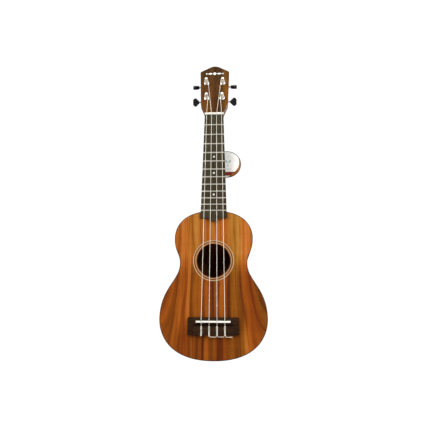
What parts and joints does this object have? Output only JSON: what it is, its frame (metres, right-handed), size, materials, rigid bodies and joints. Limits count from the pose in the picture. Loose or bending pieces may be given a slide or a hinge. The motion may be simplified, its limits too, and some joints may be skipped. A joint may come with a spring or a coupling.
{
  "type": "ukulele",
  "caption": "Soprano ukulele: figure-eight hollow wooden body, short fretted neck, tied nylon strings and geared tuners.",
  "frame": {"origin": "where a wall hanger's yoke holds the neck: on the centre line, at the nut's headstock edge, level with the neck's glued face (the seam under the fretboard and the soundboard's front face)", "axes": "+Z along the neck towards the headstock, -Y out of the soundboard towards the strings, +X to the right as the soundboard is seen"},
  "size_m": [0.168, 0.0732, 0.5255],
  "materials": {
    "koa_top": "glossy lacquer over figured koa",
    "koa_body": "glossy lacquer over figured koa",
    "inner_wood": "bare spruce",
    "fretboard_wood": "oiled rosewood",
    "bridge_wood": "oiled rosewood",
    "overlay_wood": "glossy rosewood veneer",
    "neck_wood": "satin mahogany",
    "fret_wire": "polished nickel silver",
    "tuner_plate": "nickel plated",
    "chrome": "chrome plated",
    "steel": "turned steel",
    "brass": "cut brass",
    "bone": "polished bone white",
    "nylon": "clear nylon",
    "black_plastic": "glossy black",
    "card": "printed card"
  },
  "bodies": {
    "instrument": {"a_string": "nylon", "back_brace": "inner_wood", "back_lining_left": "inner_wood", "back_lining_right": "inner_wood", "back_plate": "koa_body", "bridge": "bridge_wood", "c_string": "nylon", "e_string": "nylon", "fret_01": "fret_wire", "fret_02": "fret_wire", "fret_03": "fret_wire", "fret_04": "fret_wire", "fret_05": "fret_wire", "fret_06": "fret_wire", "fret_07": "fret_wire", "fret_08": "fret_wire", "fret_09": "fret_wire", "fret_10": "fret_wire", "fret_11": "fret_wire", "fret_12": "fret_wire", "fretboard": "fretboard_wood", "front_lining_left": "inner_wood", "front_lining_right": "inner_wood", "g_string": "nylon", "hang_tag": "card", "headstock_overlay": "overlay_wood", "lower_brace": "inner_wood", "lower_left_bushing": "chrome", "lower_left_plate": "tuner_plate", "lower_right_bushing": "chrome", "lower_right_plate": "tuner_plate", "neck": "neck_wood", "neck_block": "inner_wood", "nut": "bone", "rib_left": "koa_body", "rib_right": "koa_body", "saddle": "bone", "soundboard": "koa_top", "tail_block": "inner_wood", "upper_brace": "inner_wood", "upper_left_bushing": "chrome", "upper_left_plate": "tuner_plate", "upper_right_bushing": "chrome", "upper_right_plate": "tuner_plate"},
    "upper_left_post": {"upper_left_post": "chrome", "upper_left_gear": "brass"},
    "upper_left_knob": {"upper_left_worm_shaft": "steel", "upper_left_button": "black_plastic"},
    "upper_right_post": {"upper_right_post": "chrome", "upper_right_gear": "brass"},
    "upper_right_knob": {"upper_right_worm_shaft": "steel", "upper_right_button": "black_plastic"},
    "lower_left_post": {"lower_left_post": "chrome", "lower_left_gear": "brass"},
    "lower_left_knob": {"lower_left_worm_shaft": "steel", "lower_left_button": "black_plastic"},
    "lower_right_post": {"lower_right_post": "chrome", "lower_right_gear": "brass"},
    "lower_right_knob": {"lower_right_worm_shaft": "steel", "lower_right_button": "black_plastic"}
  },
  "joints": [
    {"name": "upper_left_post_turn", "type": "hinge", "parent": "instrument", "child": "upper_left_post", "pos_m": [-0.015, 0.01283, 0.07072], "axis": [0, -0.9781, 0.2079], "continuous": true},
    {"name": "upper_right_post_turn", "type": "hinge", "parent": "instrument", "child": "upper_right_post", "pos_m": [0.015, 0.01283, 0.07072], "axis": [0, -0.9781, 0.2079], "continuous": true},
    {"name": "lower_left_post_turn", "type": "hinge", "parent": "instrument", "child": "lower_left_post", "pos_m": [-0.014, 0.00516, 0.03463], "axis": [0, -0.9781, 0.2079], "continuous": true},
    {"name": "lower_right_post_turn", "type": "hinge", "parent": "instrument", "child": "lower_right_post", "pos_m": [0.014, 0.00516, 0.03463], "axis": [0, -0.9781, 0.2079], "continuous": true},
    {"name": "upper_left_knob_turn", "type": "hinge", "parent": "instrument", "child": "upper_left_knob", "pos_m": [-0.015, 0.03075, 0.07325], "axis": [1, 0, 0], "continuous": true},
    {"name": "upper_right_knob_turn", "type": "hinge", "parent": "instrument", "child": "upper_right_knob", "pos_m": [0.015, 0.03075, 0.07325], "axis": [1, 0, 0], "continuous": true},
    {"name": "lower_left_knob_turn", "type": "hinge", "parent": "instrument", "child": "lower_left_knob", "pos_m": [-0.014, 0.02308, 0.03716], "axis": [1, 0, 0], "continuous": true},
    {"name": "lower_right_knob_turn", "type": "hinge", "parent": "instrument", "child": "lower_right_knob", "pos_m": [0.014, 0.02308, 0.03716], "axis": [1, 0, 0], "continuous": true}
  ],
  "couplings": [
    {"joint": "upper_left_knob_turn", "follows": "upper_left_post_turn", "ratio": 14},
    {"joint": "upper_right_knob_turn", "follows": "upper_right_post_turn", "ratio": 14},
    {"joint": "lower_left_knob_turn", "follows": "lower_left_post_turn", "ratio": 14},
    {"joint": "lower_right_knob_turn", "follows": "lower_right_post_turn", "ratio": 14}
  ]
}
